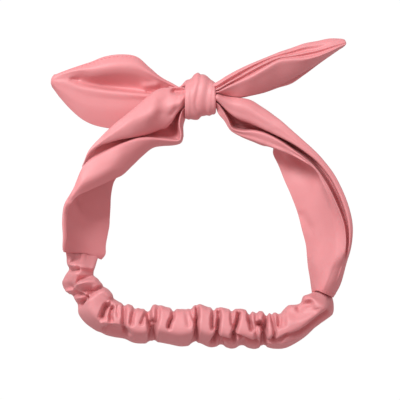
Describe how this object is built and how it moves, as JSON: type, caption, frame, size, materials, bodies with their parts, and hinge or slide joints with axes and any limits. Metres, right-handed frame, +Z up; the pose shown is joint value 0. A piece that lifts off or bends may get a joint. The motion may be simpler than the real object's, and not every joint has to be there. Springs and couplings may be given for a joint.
{
  "type": "knotted jersey headband",
  "caption": "Soft jersey headband, knotted at the front with two leaf-shaped tails, with a gathered elastic back.",
  "frame": {"origin": "middle of the underside of the whole band as it lies on a table", "axes": "+Z up along the axis of the head opening, +Y from the gathered back to the knot, +X towards the right tail"},
  "size_m": [0.1858, 0.1936, 0.0384],
  "materials": {
    "jersey": "smooth knitted jersey with a soft sheen",
    "thread": "matching sewing thread",
    "elastic": "flat woven elastic with ribs along it"
  },
  "bodies": {
    "band": {"knot_wrap": "jersey", "knot_core": "jersey", "left_strap_outer_panel": "jersey", "left_strap_inner_panel": "jersey", "right_strap_outer_panel": "jersey", "right_strap_inner_panel": "jersey", "left_strap_edge_stitches": "thread", "right_strap_edge_stitches": "thread", "left_hem_stitches": "thread", "right_hem_stitches": "thread", "casing_left": "jersey", "casing_right": "jersey", "elastic_left": "elastic", "elastic_right": "elastic", "left_elastic_tack": "thread", "right_elastic_tack": "thread"},
    "elastic_back": {"casing_middle": "jersey", "elastic_middle": "elastic", "casing_seam_stitches": "thread"},
    "left_tail": {"left_tail_front_panel": "jersey", "left_tail_back_panel": "jersey", "left_tail_seam_stitches": "thread"},
    "right_tail": {"right_tail_front_panel": "jersey", "right_tail_back_panel": "jersey", "right_tail_seam_stitches": "thread"}
  },
  "joints": [
    {"name": "elastic_stretch", "type": "slide", "parent": "band", "child": "elastic_back", "axis": [0, -1, 0], "range_m": [0, 0.045], "stiffness_N_per_m": 100, "deforming": ["casing_left", "casing_right", "elastic_left", "elastic_right"]},
    {"name": "left_tail_swing", "type": "hinge", "parent": "band", "child": "left_tail", "pos_m": [-0.0155, 0.06628, 0.0084], "axis": [0, 0, 1], "range_deg": [-50, 5]},
    {"name": "right_tail_swing", "type": "hinge", "parent": "band", "child": "right_tail", "pos_m": [0.0149, 0.06778, 0.024], "axis": [0, 0, 1], "range_deg": [0, 50]}
  ]
}
